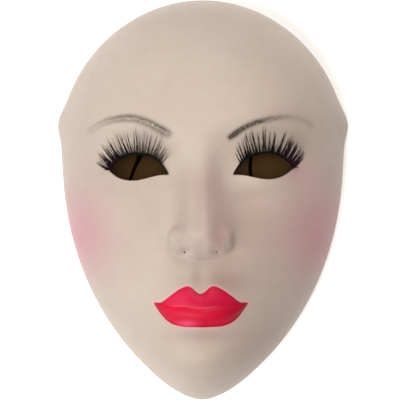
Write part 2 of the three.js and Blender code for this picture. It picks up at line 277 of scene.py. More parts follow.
# %% Helpers for meshes
def mesh_object(name, points, faces, material):
    """A new object at the origin, from points in millimetres."""
    mesh = bpy.data.meshes.new(name)
    mesh.from_pydata((np.asarray(points) * MM).tolist(), [], [tuple(map(int, f)) for f in faces])
    mesh.materials.append(material)
    mesh.shade_smooth()
    made = bpy.data.objects.new(name, mesh)
    bpy.context.scene.collection.objects.link(made)
    return made


def store_numbers(mesh, name, values):
    """Stores one number for each point, for a material or a node tree to read."""
    mesh.attributes.new(name, "FLOAT", "POINT").data.foreach_set("value", values.astype(np.float32))


def triangle_count(made):
    return sum(len(face.vertices) - 2 for face in made.data.polygons)


def tube_faces(rings, sides):
    """The quads between rings of points, and a flat cap at each end."""
    last = (rings - 1) * sides
    faces = []
    for ring in range(0, last, sides):
        for k in range(sides):
            after = (k + 1) % sides
            faces.append((ring + k, ring + after, ring + sides + after, ring + sides + k))
    return faces + [tuple(range(sides))[::-1], tuple(range(last, last + sides))]


def unit(vectors):
    return vectors / np.maximum(np.linalg.norm(vectors, axis=-1, keepdims=True), 1e-9)


# %% Braid material
def braid_material():
    """Slanting threads that meet along the middle of each rib, drawn on the braid's own run."""
    braid = Shader("elastic_braid")
    place = braid.node("ShaderNodeUVMap", uv_map="run")
    across = braid.node("ShaderNodeSeparateXYZ", 0, {0: place})
    along = braid.node("ShaderNodeSeparateXYZ", 1, {0: place})
    slant = braid.math("ABSOLUTE", braid.plus(braid.math("FRACT", across), -0.5))
    rows = braid.math("SINE", braid.times(braid.plus(along, slant), 2 * math.pi))
    thread = braid.times(braid.ramp(slant, 0.5, 0.28), braid.ramp(rows, -1, 0.6, 0.35, 1.0))
    fuzz = braid.noise(2500, 2)
    braid.set(colour=braid.mix(thread, linear(9, 8, 8), linear(38, 35, 34)), roughness=0.75, specular=0.3,
              sheen=0.25, sheen_roughness=0.4,
              normal=braid.bump(fuzz, 0.0001, 0.4, braid.bump(thread, 0.00025, 0.9)))
    return braid.material


# %% Sweep the braid
STRAP_RIBS = 6
RIB_DEPTH = 0.16
STITCH_LENGTH = 0.9
ROLL_FROM_START = (0.17, 0.29)  # shares of the length between which the braid rolls onto its edge
ROLL_FROM_END = (0.15, 0.26)


def squared_off(wave, power):
    """A wave with flatter tops, which makes a round section flat."""
    return np.sign(wave) * np.abs(wave) ** power


def braid_section(sides=44):
    """Flat with round edges, and a low rib for each rubber thread."""
    turn = np.linspace(0, 2 * math.pi, sides, endpoint=False)
    across = squared_off(np.cos(turn), 0.45)
    thick = squared_off(np.sin(turn), 0.55)
    rib = 1 - RIB_DEPTH * np.cos(across * math.pi * STRAP_RIBS) ** 2
    return across * STRAP_WIDTH / 2, thick * rib * STRAP_THICKNESS / 2, (across + 1) / 2 * STRAP_RIBS


def elastic_strap():
    ahead = unit(np.gradient(strap_line, axis=0))
    side = np.zeros_like(ahead)
    side[0] = (0, 1, 0)
    for i in range(1, len(ahead)):
        side[i] = unit(side[i - 1] - ahead[i] * side[i - 1].dot(ahead[i]))
    t = np.linspace(0, 1, len(ahead))
    lean = (STRAP_LEAN * ease(*ROLL_FROM_START, t) * ease(*ROLL_FROM_END, 1 - t))[:, None]
    flat = np.cross(ahead, side)
    wide = side * np.cos(lean) + flat * np.sin(lean)
    thin = np.cross(ahead, wide)
    across, thick, count = braid_section()
    rings = strap_line[:, None] + wide[:, None] * across[:, None] + thin[:, None] * thick[:, None]
    sides = len(across)
    strap = mesh_object("strap_braid", rings.reshape(-1, 3), tube_faces(len(rings), sides), braid_material())
    run = np.linspace(0, strap_length / STITCH_LENGTH, len(rings))
    corner = np.array([loop.vertex_index for loop in strap.data.loops])
    uv = np.column_stack([count[corner % sides], run[corner // sides]])
    strap.data.uv_layers.new(name="run").data.foreach_set("uv", uv.astype(np.float32).ravel())
    return strap


strap = elastic_strap()
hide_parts("elastic_strap")
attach(strap, "root")
print("strap triangles:", triangle_count(strap))

# %% [markdown]
# ## The cast face
#
# A sculpted face has no straight edges to start from, so its form is written as a height over the plane
# of the rim: a plain egg-shaped shell, plus soft bells and swellings for sockets, cheeks, nose, lips
# and chin. The same heights made the construction solid. Here they are sampled on a far finer grid,
# closest together at the eyes, nose and mouth. The landmarks are spaced as in a drawing book: from the
# brows to the foot of the nose, and from there to the chin, is a third of the face each, and the gap
# between the eyes is as wide as the nose.

# %% Landmarks
REACH_Y = shell_high[1]
BROAD_HALF = 78.2
BROAD_Y = 36.0
FLARE = 2.7
FLARE_Y = TEMPLE_Y
FLARE_RUN = 9.0
FRONT = 72.0
WALL = 1.8
THIRD = 70.0
BROW_Y = 38.5
NOSE_BASE_Y = BROW_Y - THIRD
MOUTH_Y = NOSE_BASE_Y - THIRD / 3
EYE_GAP = 34.0
EYE_WIDTH = 30.5
EYE_X = (EYE_GAP + EYE_WIDTH) / 2
EYE_Y = 15.5
NOSE_TIP_Y = -19.5
NOSE_ROOT_Y = 28.0
MOUTH_HALF = 24.6
PINHOLE = (8.1, -26.8)
PINHOLE_RADIUS = 0.5
EYES = {"left": {"side": -1, "lift": -0.3, "slant": 1.2}, "right": {"side": 1, "lift": 0.3, "slant": 1.9}}
print("foot of the nose and mouth, mm:", NOSE_BASE_Y, round(MOUTH_Y, 1))


# %% Heights of the features
def bell(x, y, cx, cy, sx, sy, turn=0.0):
    """1 in the middle, fading out smoothly over sx and sy, and turned by some degrees."""
    c, s = math.cos(math.radians(turn)), math.sin(math.radians(turn))
    u = (c * (x - cx) + s * (y - cy)) / sx
    v = (c * (y - cy) - s * (x - cx)) / sy
    return np.exp(-(u * u + v * v))


def half_width(y):
    """Half the outline's width: a round crown over a long jaw."""
    up = np.clip((y - BROAD_Y) / (REACH_Y - BROAD_Y), 0, 1)
    down = np.clip((BROAD_Y - y) / (BROAD_Y + REACH_Y), 0, 1)
    crown = (1 - up ** 1.84) ** 0.513
    jaw = (1 - down ** 2.39) ** (0.718 - 0.036 * ease(0.85, 1, down))
    return BROAD_HALF * np.where(y > BROAD_Y, crown, jaw)


def shell_height(x, y):
    """The plain shell that the features stand on."""
    reach = np.clip(np.abs(y) / REACH_Y, 0, 1)
    lengthwise = np.sqrt(1 - reach ** np.where(y > 0, 3.0, 7.0))
    across = np.clip(np.abs(x) / np.maximum(half_width(y), 1e-3), 0, 1)
    return FRONT * lengthwise * np.sqrt(1 - across ** 2.2)


def brows_and_sockets(ax, y):
    return (1.2 * bell(ax, y, 28, 40, 20, 8) - 2 * bell(ax, y, 70, 34, 16, 26)
            - 5 * bell(ax, y, 19, 20, 12, 12) - 4.5 * bell(ax, y, 36, 18, 20, 14)
            + 6 * bell(ax, y, EYE_X, EYE_Y, 15, 10.5) - bell(ax, y, 27, 1, 12, 5, 15))


def cheeks_and_chin(ax, y):
    return (4.5 * bell(ax, y, 40, -13, 19, 19) - 2.5 * bell(ax, y, 42, -52, 16, 20)
            + 4.5 * bell(ax, y, 0, -50, 26, 19) + 4.4 * bell(ax, y, 0, -84, 22, 17)
            - 1.8 * bell(ax, y, 0, -72, 16, 6))


def nose(ax, y):
    """A ridge that rises towards the tip, a wing on each side, and a steep fall to the lip."""
    t = np.clip((NOSE_ROOT_Y - y) / (NOSE_ROOT_Y - NOSE_TIP_Y), 0, 1)
    rise = t ** 1.2 * (1 - 0.16 * t ** 6) / 0.84
    foot = NOSE_BASE_Y + 0.2 + 0.016 * np.minimum(ax, 19) ** 2
    start = NOSE_TIP_Y + 3
    fall = (1 - np.clip((start - y) / (start - foot), 0, 1) ** 2.2) ** 1.15
    flank = np.exp(-(np.maximum(ax - 2, 0) / (8 + 2.4 * t ** 3)) ** 1.9)
    ridge = (2 + 14.5 * rise) * (1 - ease(14, 44, y)) * flank
    tip = 4 * bell(ax, y, 0, NOSE_TIP_Y + 0.5, 8, 8)
    lobe = 1 - (np.abs(ax - 9.2) / 8) ** 2.2 - (np.abs(y + 21.6) / 9.4) ** 2.2
    wing = 11.6 * np.maximum(lobe, 0) ** 0.58 * ease(0, 7, ax)
    nostril = 2.6 * bell(ax, y, 7.6, -26.4, 3, 1.9, -18)
    return ((ridge + tip) ** 4 + wing ** 4) ** 0.25 * fall - nostril


def lip_lines(ax):
    """The line where the lips meet, and their outer borders. They run out into a thin tail at each corner."""
    s = np.minimum(ax / MOUTH_HALF, 1)
    corner = MOUTH_Y + 2.2
    meet = MOUTH_Y + 2.2 * s ** 2 + 0.7 * np.exp(-((s - 0.33) / 0.18) ** 2)
    peak = 8.5 * (1 - np.clip((s - 0.25) / 0.58, 0, 1) ** 1.6) ** 1.25
    bow = 4.0 * np.exp(-(s / 0.155) ** 2.4)
    upper = corner + peak - bow + 0.5 * (1 - s)
    lower = corner - 12.0 * (1 - s ** 4.6) ** 1.35 - 0.2 * (1 - s)
    return s, meet, upper, lower


def lips(ax, y):
    s, meet, upper, lower = lip_lines(ax)
    full = np.sqrt(np.maximum(1 - s ** 2, 0))
    above = np.clip((y - meet) / np.maximum(upper - meet, 0.3), 0, 1)
    below = np.clip((meet - y) / np.maximum(meet - lower, 0.3), 0, 1)
    crease = 0.3 * np.exp(-((y - meet) / 0.9) ** 2) * (1 - ease(0.6, 0.95, s))
    top_lip = 2.4 * (1 - above ** 1.8) * (y >= meet)
    bottom_lip = (2.4 + 1.6 * np.sin(np.pi * below)) * (1 - below ** 2.4) * (y < meet)
    return full * (top_lip + bottom_lip) - crease


def philtrum(ax, y):
    return 0.3 * bell(ax, y, 5.5, -41, 2.6, 6) - 0.5 * bell(ax, y, 0, -40, 3.4, 6)


def face_height(x, y):
    ax = np.abs(x)
    plain = shell_height(x, y)
    features = brows_and_sockets(ax, y) + cheeks_and_chin(ax, y) + nose(ax, y) + philtrum(ax, y) + lips(ax, y)
    return plain + ease(0, 30, plain) * features


# %% [markdown]
# ### From a disc to the face
#
# The grid is laid on a round disc and stretched to the egg outline, with its outermost line on the rim.
# The lines crowd towards the rim, where the wall stands upright.

# %% Places on the face
def rim_radius(angle, halvings=40):
    """How far the outline is from the middle in each direction."""
    inside, outside = np.zeros_like(angle), np.full_like(angle, REACH_Y)
    for _ in range(halvings):
        middle = (inside + outside) / 2
        within = np.abs(middle * np.cos(angle)) < half_width(middle * np.sin(angle))
        inside, outside = np.where(within, middle, inside), np.where(within, outside, middle)
    return inside


def flared(x, y, out):
    """Stands the temples out a little at the rim."""
    return x + np.sign(x) * FLARE * np.exp(-((y - FLARE_Y) / FLARE_RUN) ** 2) * ease(0.72, 1, out)


def face_point(u, v):
    """Carries a point of the round disc to its place on the face."""
    out = np.minimum(np.hypot(u, v), 1)
    angle = np.arctan2(v, u)
    reach = rim_radius(angle) * np.sin(out * np.pi / 2)
    x, y = reach * np.cos(angle), reach * np.sin(angle)
    z = np.where(out > 1 - 1e-9, 0, face_height(x, y))
    return np.stack([flared(x, y, out), y, z], -1)


def face_normal(u, v, step=0.02):
    across = face_point(u + step, v) - face_point(u - step, v)
    lengthwise = face_point(u, v + step) - face_point(u, v - step)
    return unit(np.cross(across, lengthwise))


def rim_normal(u, v, step=0.02):
    """Level, so that the latex is cut square at the rim."""
    angle = np.arctan2(v, u)
    ahead = face_point(np.cos(angle + step), np.sin(angle + step))
    along = ahead - face_point(np.cos(angle - step), np.sin(angle - step))
    return unit(np.stack([along[..., 1], -along[..., 0], np.zeros_like(angle)], -1))


def grid_lines(reach, spacing, samples=4000):
    """Places of the grid lines from -1 to 1, closer together where spacing(mm) is small."""
    angle = (np.arange(samples + 1) / samples - 0.5) * np.pi
    gap = spacing(reach * np.sin(angle))
    count = np.r_[0, np.cumsum(reach * np.pi / samples / gap[1:])]
    wanted = np.linspace(0, count[-1], int(round(count[-1])) + 1)
    return np.interp(wanted, count, np.linspace(-1, 1, samples + 1))


PINHOLE_GAP = 0.48


def row_gap(y):
    """Close rows from the lower lip to the brows, and the closest ones at the breathing holes."""
    features = (y > -68) & (y < 46)
    pinholes = (y > -32) & (y < -25)
    return np.where(pinholes, PINHOLE_GAP, np.where(features, 0.92, 2.2))


def column_gap(x):
    pinholes = np.abs(np.abs(x) - PINHOLE[0]) < 1.8
    return np.where(pinholes, PINHOLE_GAP, np.where(np.abs(x) < 52, 0.98, 2.1))


# %% [markdown]
# ### Holes without a boolean
#
# A boolean cut leaves slivers round a curved hole. Here the grid is fitted to each hole instead: where
# a grid line crosses the outline, the nearer corner moves onto it. Every cell is then either inside or
# outside, and the inside ones are dropped.

# %% Hole outlines
def eye_edge(across, upper, slant):
    """Height of a hole's edge, from across = -1 at its inner corner to 1 at its outer one."""
    corners = EYE_Y - 1.6 + slant * across
    top = 9.0 * (1 - np.abs(across) ** np.where(across < 0, 3.2, 2.2))
    deepest = 0.25
    outer_side = 1 - np.clip((across - deepest) / (1 - deepest), 0, 1) ** 2.5
    bottom = 4.4 * np.where(across < deepest, ease(-1, deepest, across), outer_side)
    return corners + np.where(upper, top, -bottom)


def eye_outline(side, lift, slant, steps=160):
    turn = np.linspace(0, 2 * np.pi, steps, endpoint=False)
    across = -np.cos(turn)
    x = side * (EYE_X + across * EYE_WIDTH / 2)
    return np.column_stack([x, eye_edge(across, turn > np.pi, slant) + lift])


def pinhole_outline(side, steps=24):
    turn = np.linspace(0, 2 * np.pi, steps, endpoint=False)
    return np.column_stack([side * PINHOLE[0] + PINHOLE_RADIUS * np.cos(turn),
                            PINHOLE[1] + PINHOLE_RADIUS * np.sin(turn)])


def distance_to(outline, x, y):
    """Millimetres from a closed outline, negative inside it, and the direction away from it."""
    a = outline
    b = np.roll(outline, -1, axis=0)
    p = np.stack([x.ravel(), y.ravel()], -1)[:, None]
    run = b - a
    t = np.clip(((p - a) * run).sum(-1) / (run ** 2).sum(-1), 0, 1)
    off = p - (a + t[..., None] * run)
    far = np.linalg.norm(off, axis=-1)
    near = far.argmin(1)
    rows = np.arange(len(near))
    above = (a[:, 1] > p[..., 1]) != (b[:, 1] > p[..., 1])
    crossing = p[..., 0] < a[:, 0] + (p[..., 1] - a[:, 1]) / np.where(above, run[:, 1], 1) * run[:, 0]
    inside = (above & crossing).sum(1) % 2 == 1
    sign = np.where(inside, -1, 1)
    distance = sign * far[rows, near]
    away = unit(off[rows, near]) * sign[:, None]
    return distance.reshape(x.shape), away.reshape(x.shape + (2,))


def near_box(outline, x, y, margin):
    """True for places inside the outline's box or within margin of it."""
    low, high = outline.min(0) - margin, outline.max(0) + margin
    return (x > low[0]) & (x < high[0]) & (y > low[1]) & (y < high[1])


def fit_grid(x, y, outline, grow):
    """Moves grid corners onto the outline, grown by a little. The marks are -1 inside, 0 on and 1 outside."""
    distance, _ = distance_to(outline, x, y)
    value = distance - grow
    half_cell = 0.5 + 1e-6
    best = np.full(x.shape, half_cell)
    new_x, new_y, on = x.copy(), y.copy(), np.zeros(x.shape, bool)
    for axis in (0, 1):
        here = [slice(None), slice(None)]
        there = [slice(None), slice(None)]
        here[axis], there[axis] = slice(None, -1), slice(1, None)
        here, there = tuple(here), tuple(there)
        v0, v1 = value[here], value[there]
        crosses = v0 * v1 < 0
        f = np.where(crosses, v0 / np.where(crosses, v0 - v1, 1), 0)
        cx = x[here] + f * (x[there] - x[here])
        cy = y[here] + f * (y[there] - y[here])
        for place, share in ((here, f), (there, 1 - f)):
            closer = crosses & (share < best[place])
            best[place] = np.where(closer, share, best[place])
            new_x[place] = np.where(closer, cx, new_x[place])
            new_y[place] = np.where(closer, cy, new_y[place])
            on[place] |= closer
    return new_x, new_y, np.where(on, 0, np.sign(value)).astype(int)


# %% Round off a cut edge
EDGE_ROUND = 0.3


def rounded_edge(outer, inner, bulge):
    """Rings of points from the outer skin's edge to the inner skin's, rounded at both corners."""
    through = inner - outer
    deep = unit(through)
    quarter = np.radians([30, 60, 90])
    near = [outer + EDGE_ROUND * (bulge * math.sin(q) + deep * (1 - math.cos(q))) for q in quarter]
    far = [inner + EDGE_ROUND * (bulge * math.sin(q) - deep * (1 - math.cos(q))) for q in quarter[::-1]]
    return near + far


def ordered_loops(faces):
    """The open edges of the faces, as closed loops of corner numbers in the faces' own direction."""
    edges = np.concatenate([faces[:, [0, 1]], faces[:, [1, 2]], faces[:, [2, 0]]])
    known = set(map(tuple, edges.tolist()))
    ahead = {a: b for a, b in known if (b, a) not in known}
    loops = []
    while ahead:
        start, here = ahead.popitem()
        loop = [start]
        while here != start:
            loop.append(here)
            here = ahead.pop(here)
        loops.append(np.array(loop))
    return loops


# %% Lay the grid and fit the holes
EYE_HOLES = [eye_outline(**cut) for cut in EYES.values()]
PINHOLES = [pinhole_outline(side) for side in (-1, 1)]
HOLES = EYE_HOLES + PINHOLES
HOLE_MARGIN = 3


def fitted_grid():
    """The front skin's points and normals, their marks from the holes, and which of them are on the rim."""
    columns = grid_lines(BROAD_HALF, column_gap)
    rows = grid_lines(REACH_Y, row_gap)
    a, b = np.meshgrid(columns, rows)
    u, v = a * np.sqrt(1 - b ** 2 / 2), b * np.sqrt(1 - a ** 2 / 2)
    edge = (np.abs(a) == 1) | (np.abs(b) == 1)
    length = np.where(edge, np.hypot(u, v), 1)
    u, v = u / length, v / length
    outer = face_point(u, v)
    normal = np.where(edge[..., None], rim_normal(u, v), face_normal(u, v))
    state = np.ones(a.shape, int)
    for outline in HOLES:
        x, y = outer[..., 0], outer[..., 1]
        j, i = np.where(near_box(outline, x, y, HOLE_MARGIN))
        part = (slice(j.min(), j.max() + 1), slice(i.min(), i.max() + 1))
        new_x, new_y, marks = fit_grid(x[part], y[part], outline, EDGE_ROUND)
        moved = marks == 0
        outer[part][..., 0] = np.where(moved, new_x, x[part])
        outer[part][..., 1] = np.where(moved, new_y, y[part])
        outer[part][..., 2] = np.where(moved, face_height(new_x, new_y), outer[part][..., 2])
        state[part] = np.where(marks < 1, marks, state[part])
    return outer, normal, state, edge


def grid_triangles(outer, state):
    """Two triangles for each cell, split so that none has corners on both sides of a hole's outline."""
    rows, columns = state.shape
    number = np.arange(state.size).reshape(state.shape)
    a, b = number[:-1, :-1].ravel(), number[:-1, 1:].ravel()
    c, d = number[1:, 1:].ravel(), number[1:, :-1].ravel()
    flat = state.ravel()
    middle_x = (np.arange(columns - 1) * 2 < columns - 1)[None, :]
    middle_y = (np.arange(rows - 1) * 2 < rows - 1)[:, None]
    rising = (middle_x == middle_y).ravel()
    mixed_rising = (np.minimum(flat[a], flat[c]) < 0) & (np.maximum(flat[a], flat[c]) > 0)
    mixed_falling = (np.minimum(flat[b], flat[d]) < 0) & (np.maximum(flat[b], flat[d]) > 0)
    rising = np.where(mixed_rising, False, np.where(mixed_falling, True, rising))
    first = np.where(rising[:, None], np.stack([a, b, c], -1), np.stack([a, b, d], -1))
    second = np.where(rising[:, None], np.stack([a, c, d], -1), np.stack([b, c, d], -1))
    triangles = np.concatenate([first, second])
    marks = flat[triangles]
    keep = marks.min(1) >= 0
    all_on = np.where((marks == 0).all(1))[0]
    centres = outer.reshape(-1, 3)[triangles[all_on]].mean(1)
    for outline in HOLES:
        distance, _ = distance_to(outline, centres[:, 0], centres[:, 1])
        keep[all_on[distance < EDGE_ROUND * 0.9]] = False
    return triangles[keep]


outer_grid, normal_grid, state_grid, edge_grid = fitted_grid()
skin_triangles = grid_triangles(outer_grid, state_grid)
print("grid:", state_grid.shape, "outer triangles:", len(skin_triangles))


# %% [markdown]
# ### Paint as numbers on the skin
#
# The colours are laid on by hand, so each one is stored on the skin as a number that the material
# reads: how deep a place lies inside the lip's border, how far it is across and along a brow, and how
# much blush, brown contour and pale powder the airbrush has left there. These also hold painted light
# and shade: warm painted shade in the blush, painted shade in the contour and painted light in the
# powder, and the lips have painted highlights and shade of their own. A number changes evenly between
# corners, so a border drawn from it stays sharp on a coarse grid.

# %% Where the paint goes
BROWS = {
    -1: [(17, 33.4), (21.5, 35.9), (26.9, 38.7), (34.3, 41.2), (39, 41.5), (45, 40.9), (50.2, 39.7),
         (58.5, 35.9)],
    1: [(15, 31.5), (20.9, 35.6), (26.9, 38.6), (32.8, 40.4), (40.2, 41.9), (48.2, 42.2), (53.5, 40.7),
        (58, 38.2)],
}
BROW_HALF = 3.3
BROW_MIDDLE = (36, 37)
BROW_REACH = (32, 15)
FAR_FROM_BROW = 9.0

# Soft airbrushed spots, partly paint and partly painted light and shade: how strong, the middle's x and y,
# and the reach each way, in millimetres
# Blush on both cheeks, and a warm painted shade on the right of the nose, the right temple and a larger right
# cheek
BLUSH_AND_WARM_SHADE = {
    "left cheek": (0.6, -67, -20, 19, 23), "right cheek": (0.6, 66, -20, 21, 25),
    "right temple": (0.22, 52, 14, 9, 8), "right flank of the nose": (0.17, 8.5, -10, 6.5, 20),
    "right of the root": (0.08, 7, 11, 4, 8), "right of the tip": (0.1, 9, -19, 4, 6),
}
# Brown contour mixed with painted shade: darker under the nose, lip and chin, on the right cheek and jaw, and
# along the top
CONTOUR_AND_SHADE = {
    "right cheek": (0.42, 26, -13, 13, 20), "right jaw": (0.35, 36, -80, 16, 16),
    "bridge": (0.2, -1, -2, 5, 17), "crest": (0.28, 3, 3, 3.2, 15), "root": (0.18, -6, 8, 10, 7),
    "right of the root": (0.18, 9.5, 7, 4, 8), "left flank": (0.34, -9.5, -11, 4.5, 17),
    "right flank": (0.06, 19, -12, 5, 16), "right of the tip": (0.3, 9.3, -19, 3.5, 6),
    "under the wing": (0.2, 13.5, -30, 6, 3.5), "under the tip": (0.18, 4.5, -31.5, 6, 3),
    "groove under the nose": (0.2, -2.6, -38.5, 2.6, 6), "left of the groove": (0.15, -8, -42, 7, 5),
    "right of the groove": (0.65, 12.5, -42, 10, 7), "under the lip": (0.45, 0, -69.5, 15, 3.5),
    "left lower lid": (0.18, -36, 6, 18, 5), "over the right brow": (0.15, 47, 43, 14, 6),
    "hairline": (0.15, 0, 98, 60, 10), "left side": (0.1, -62, 10, 16, 50),
}
# Pale powder mixed with painted light: lighter where the nose, lids and forehead would fall into shade
POWDER_AND_LIGHT = {
    "forehead": (0.19, -6, 32, 42, 28), "right of the forehead": (0.1, 31, 53, 14, 16),
    "right of the root": (0.35, 11.5, 14, 5, 11), "crest": (0.3, 3.2, -16, 2.4, 13),
    "right flank": (0.28, 7.5, -3, 4.5, 12), "right wing": (0.35, 13.5, -20, 4.5, 9),
    "left wing": (0.18, -10, -24.5, 4.5, 3), "right of the tip": (0.5, 4.5, -24, 5, 6),
    "under the right wing": (0.3, 7, -28.5, 4, 3), "tip": (0.3, -6, -30, 9, 4.5),
    "left lip": (0.25, -6, -36, 5, 4), "right lower lid": (0.18, 32, 8.5, 12, 4),
    "left lower cheek": (0.17, -38, -46, 20, 26),
}
# Painted highlights on the lips
LIP_HIGHLIGHT_SPOTS = {"lower lip": (0.7, -6.7, -62.8, 5, 1.7), "upper lip": (0.12, -9, -50.5, 7, 3.5)}
# Painted shade on the lips
LIP_SHADE_SPOTS = {
    "right corner": (0.6, 21, -58, 9, 8), "left corner": (0.4, -23, -57, 4, 3),
    "middle": (0.2, 3, -53.5, 6, 2.5),
}


def lip_depth(x, y):
    """Millimetres inside the painted lip, negative outside."""
    ax = np.abs(x)
    _, meet, upper, lower = lip_lines(ax)
    deep = np.minimum(upper - y, y - lower)
    beyond = -1.8 * np.hypot(ax - MOUTH_HALF, y - meet)
    return np.where(ax < MOUTH_HALF, np.minimum(deep, MOUTH_HALF - ax), beyond)


def brow_places(x, y):
    """Millimetres across a brow's middle line, millimetres away from it, and the share of its length."""
    across, away, along = np.full(x.shape, FAR_FROM_BROW), np.full(x.shape, FAR_FROM_BROW), np.zeros(x.shape)
    for side, middle in BROWS.items():
        line = smooth_line([(*p, 0) for p in middle], spacing=0.4)[:, :2]
        aside, up = np.abs(side * x - BROW_MIDDLE[0]), np.abs(y - BROW_MIDDLE[1])
        near = (aside < BROW_REACH[0]) & (up < BROW_REACH[1])
        off = np.stack([side * x[near], y[near]], -1)[:, None] - line
        far = np.linalg.norm(off, axis=-1)
        pick = far.argmin(1)
        rows = np.arange(len(pick))
        away[near] = far[rows, pick]
        across[near] = np.sign(off[rows, pick, 1]) * away[near]
        along[near] = pick / (len(line) - 1)
    return across, away, along


def airbrush(x, y, spots):
    """How much paint, with its painted light and shade, all the spots together leave at each place."""
    return sum(amount * bell(x, y, *place) for amount, *place in spots.values())


def mouth_line(x, y):
    """Millimetres over the line where the lips meet, negative under it."""
    return y - lip_lines(np.abs(x))[1]


def seam_highlight_share(x):
    """The painted highlight line between the lips runs from well inside the left corner to just past the
    middle.
    """
    return ease(-18, -12, x) * (1 - ease(4, 10, x))


def lip_light_and_shade(x, y):
    """Over 0 where a painted highlight makes the lip pinker, under 0 where painted shade makes it darker."""
    # Painted shade on both sides of the upper lip's bow
    shade_beside_the_bow = 0.15 * bell(np.abs(x), y, 5.2, -52, 2.5, 3.5)
    return airbrush(x, y, LIP_HIGHLIGHT_SPOTS) - airbrush(x, y, LIP_SHADE_SPOTS) - shade_beside_the_bow


def upper_lid(x, y):
    """1 over an eye hole's corners, 0 under them."""
    corners = EYE_Y - 1.6 + 1.5 * (np.abs(x) - EYE_X) / (EYE_WIDTH / 2)
    return ease(-0.6, 0.6, y - corners)


def edge_distance(x, y, outlines, reach):
    """Millimetres from the nearest of the outlines, up to reach."""
    far = np.full(x.shape, reach)
    for outline in outlines:
        near = near_box(outline, x, y, reach)
        far[near] = np.minimum(far[near], distance_to(outline, x[near], y[near])[0])
    return far


# %% [markdown]
# ### From numbers to paint
#
# The material mixes the paints in the order in which a painter lays them on: the ground, the airbrush,
# the brows, the lips, and the dark line along the upper lid. The airbrush, the lips, the brows' glints and
# the holes' cut edges also carry painted light and shade. Each paint is one colour, laid over the last by
# one of the numbers. Latex is a dull satin that lets a little light in, and its grain is far too fine to
# model, so it is only a bump.

# %% Brow paint
def brow_paint(latex, skin):
    """The left brow is two soft grey-brown strands with a light gap and painted highlight glints in it, the
    right a thin darker line.
    """
    across, away = latex.attribute("brow_across"), latex.attribute("brow_away")
    along, right = latex.attribute("brow_along"), latex.attribute("right_side")
    left = latex.math("SUBTRACT", 1.0, right)
    hairs = latex.node("ShaderNodeCombineXYZ", inputs={
        0: latex.plus(latex.times(along, 34), latex.times(across, -0.9)), 1: latex.times(across, 0.5)})
    strokes = latex.ramp(latex.noise(1.6, 3, 0.6, hairs), 0.3, 0.65, 0.6, 1)
    narrowing = latex.times(along, latex.plus(-1.1, latex.times(right, 1.5)))
    half = latex.plus(BROW_HALF, latex.times(right, -1.2), narrowing)
    body = latex.ramp(latex.math("DIVIDE", away, half), 1.35, 0.15)
    upper = latex.ramp(latex.math("ABSOLUTE", latex.plus(across, -1.3)), 1.6, 0.2, 0, 0.5)
    lower = latex.ramp(latex.math("ABSOLUTE", latex.plus(across, 1.3)), 1.6, 0.2, 0, 0.3)
    strands = latex.times(left, latex.math("MAXIMUM", upper, lower))
    core = latex.times(right, latex.ramp(away, 1.8, 0.3, 0.1, 0.6))
    extra = latex.plus(0.25, latex.times(right, 0.35))
    head = latex.plus(1.0, latex.times(latex.ramp(along, 0.25, 0.0), extra))
    tail = latex.plus(latex.times(left, latex.ramp(along, 0.55, 1.0, 1.0, 0.3)),
                      latex.times(right, latex.ramp(along, 0.25, 0.85, 1.2, 0.25)))
    start = latex.ramp(along, 0.0, 0.06, 0.65, 1)
    ink = latex.times(body, start, head, tail, strokes, latex.plus(0.48, strands, core))
    skin = latex.mix(ink, skin, linear(68, 61, 51))
    # Painted highlights: glints lighter than the skin in the left brow's gap
    glint = latex.ramp(latex.noise(1.3, 1, 0.5, hairs), 0.56, 0.66)
    gap = latex.times(latex.ramp(away, 1.1, 0.3), latex.ramp(along, 0.7, 0.5),
                      latex.ramp(along, 0.04, 0.12), glint)
    glint_highlight = latex.times(gap, latex.plus(0.35, latex.times(left, 0.3)))
    return latex.mix(glint_highlight, skin, linear(199, 189, 182))


# %% Ground, lip and lid paint
def ground_paint(latex, broad, mottle):
    """Two close skin tones in clouds, mottled a little, with the airbrush's three colours and their painted
    light and shade over them.
    """
    skin = latex.mix(latex.ramp(broad, 0.35, 0.65), linear(158, 145, 134), linear(156, 143, 132))
    skin = latex.mix(latex.ramp(mottle, 0.4, 0.75, 0, 0.2), skin, linear(148, 132, 120))
    # Pale powder, partly painted light
    skin = latex.mix(latex.attribute("powder_and_light"), skin, linear(187, 174, 162))
    # Brown contour, partly painted shade
    skin = latex.mix(latex.attribute("contour_and_shade"), skin, linear(130, 104, 96))
    # Blush, with a warm painted shade on the right side of the nose and temple
    return latex.mix(latex.attribute("blush_and_warm_shade"), skin, linear(167, 103, 119))


def lip_colour(latex, broad):
    """A pinker upper lip and a redder lower one, darker at the border, with a painted highlight line between
    them and painted highlights and shade laid over.
    """
    lip, over = latex.attribute("lip_depth"), latex.attribute("mouth_line")
    upper = latex.mix(latex.ramp(lip, 0.0, 2.2), linear(147, 6, 38), linear(170, 6, 49))
    lower = latex.mix(latex.ramp(lip, 0.0, 2.2), linear(144, 3, 32), linear(172, 3, 42))
    rouge = latex.mix(latex.ramp(over, -0.8, 0.8), lower, upper)
    lip_light_with_clouds = latex.plus(latex.attribute("lip_light_and_shade"), latex.times(latex.plus(broad, -0.5), 0.4))
    # Painted highlight: pinker where the number is over 0
    rouge = latex.mix(latex.math("MAXIMUM", lip_light_with_clouds, 0.0), rouge, linear(210, 72, 107))
    # Painted shade: darker red where the number is under 0
    rouge = latex.mix(latex.math("MAXIMUM", latex.times(lip_light_with_clouds, -1.0), 0.0), rouge, linear(104, 3, 21))
    # Painted highlight: a light line where the lips meet
    seam_highlight = latex.times(latex.ramp(latex.math("ABSOLUTE", over), 0.5, 0.1), latex.attribute("seam_highlight"), 0.55)
    return latex.mix(seam_highlight, rouge, linear(206, 61, 81))


